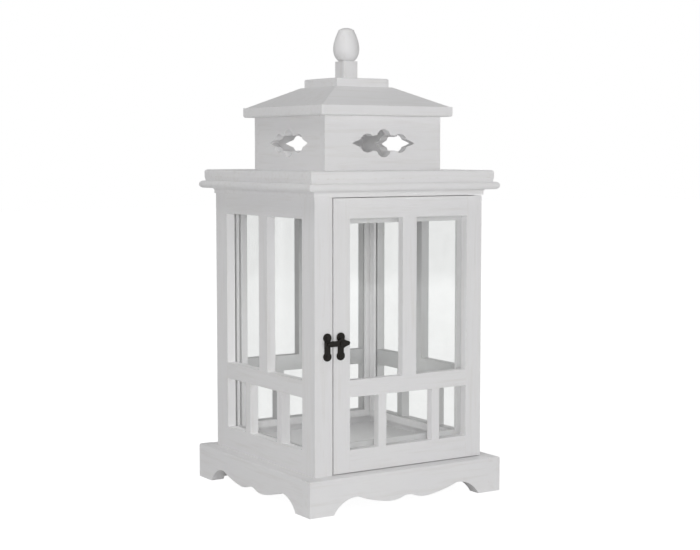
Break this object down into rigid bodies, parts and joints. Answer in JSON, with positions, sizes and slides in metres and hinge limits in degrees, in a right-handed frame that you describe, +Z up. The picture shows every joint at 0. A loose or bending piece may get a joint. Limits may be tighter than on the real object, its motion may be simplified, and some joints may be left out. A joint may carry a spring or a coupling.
{
  "type": "candle lantern",
  "caption": "White painted wooden candle lantern with glazed barred sides, hinged door and hook latch, scalloped skirt on bracket feet, moulded cornice, pierced cupola, hipped roof and finial.",
  "frame": {"origin": "centre of the footprint, on the surface the feet stand on", "axes": "+Z up, -Y out of the door, +X to the right seen from the front (hinge side)"},
  "size_m": [0.22, 0.22, 0.457],
  "materials": {
    "white_painted_wood": "satin white paint",
    "glass": "clear sheet",
    "black_metal": "matt black, slightly worn",
    "bare_wood": "unfinished"
  },
  "bodies": {
    "housing": {"back_bars": "white_painted_wood", "back_bottom_rail": "white_painted_wood", "back_left_stile": "white_painted_wood", "back_mid_rail": "white_painted_wood", "back_right_stile": "white_painted_wood", "back_top_rail": "white_painted_wood", "corner_blocks": "bare_wood", "cornice_moulding": "white_painted_wood", "cupola_back": "white_painted_wood", "cupola_front": "white_painted_wood", "cupola_left": "white_painted_wood", "cupola_right": "white_painted_wood", "eave_board": "white_painted_wood", "finial": "white_painted_wood", "finial_dowel": "bare_wood", "floor_board": "white_painted_wood", "frame_screws": "black_metal", "front_head_rail": "white_painted_wood", "front_post": "white_painted_wood", "front_threshold": "white_painted_wood", "glass_back": "glass", "glass_left": "glass", "glass_right": "glass", "glazing_beads": "white_painted_wood", "hinge_frame_leaves": "black_metal", "hinge_pins": "black_metal", "latch_post_plate": "black_metal", "latch_stud": "black_metal", "left_bars": "white_painted_wood", "left_bottom_rail": "white_painted_wood", "left_front_stile": "white_painted_wood", "left_mid_rail": "white_painted_wood", "left_rear_stile": "white_painted_wood", "left_top_rail": "white_painted_wood", "right_bars": "white_painted_wood", "right_bottom_rail": "white_painted_wood", "right_front_stile": "white_painted_wood", "right_mid_rail": "white_painted_wood", "right_rear_stile": "white_painted_wood", "right_top_rail": "white_painted_wood", "roof_block": "white_painted_wood", "roof_cap": "white_painted_wood", "skirt_back": "white_painted_wood", "skirt_front": "white_painted_wood", "skirt_left": "white_painted_wood", "skirt_right": "white_painted_wood", "top_board": "white_painted_wood"},
    "door": {"door_bars": "white_painted_wood", "door_beads": "white_painted_wood", "door_bottom_rail": "white_painted_wood", "door_hinge_stile": "white_painted_wood", "door_latch_stile": "white_painted_wood", "door_mid_rail": "white_painted_wood", "door_screws": "black_metal", "door_top_rail": "white_painted_wood", "glass_door": "glass", "hinge_door_leaves": "black_metal", "latch_door_plate": "black_metal", "latch_pivot": "black_metal"},
    "latch_hook": {"latch_hook": "black_metal"}
  },
  "joints": [
    {"name": "door_hinge", "type": "hinge", "parent": "housing", "child": "door", "pos_m": [0.0984, -0.084, 0.1635], "axis": [0, 0, 1], "range_deg": [0, 170]},
    {"name": "latch_hook_pivot", "type": "hinge", "parent": "door", "child": "latch_hook", "pos_m": [-0.068, -0.0975, 0.1578], "axis": [0, 1, 0], "range_deg": [0, 100]}
  ]
}
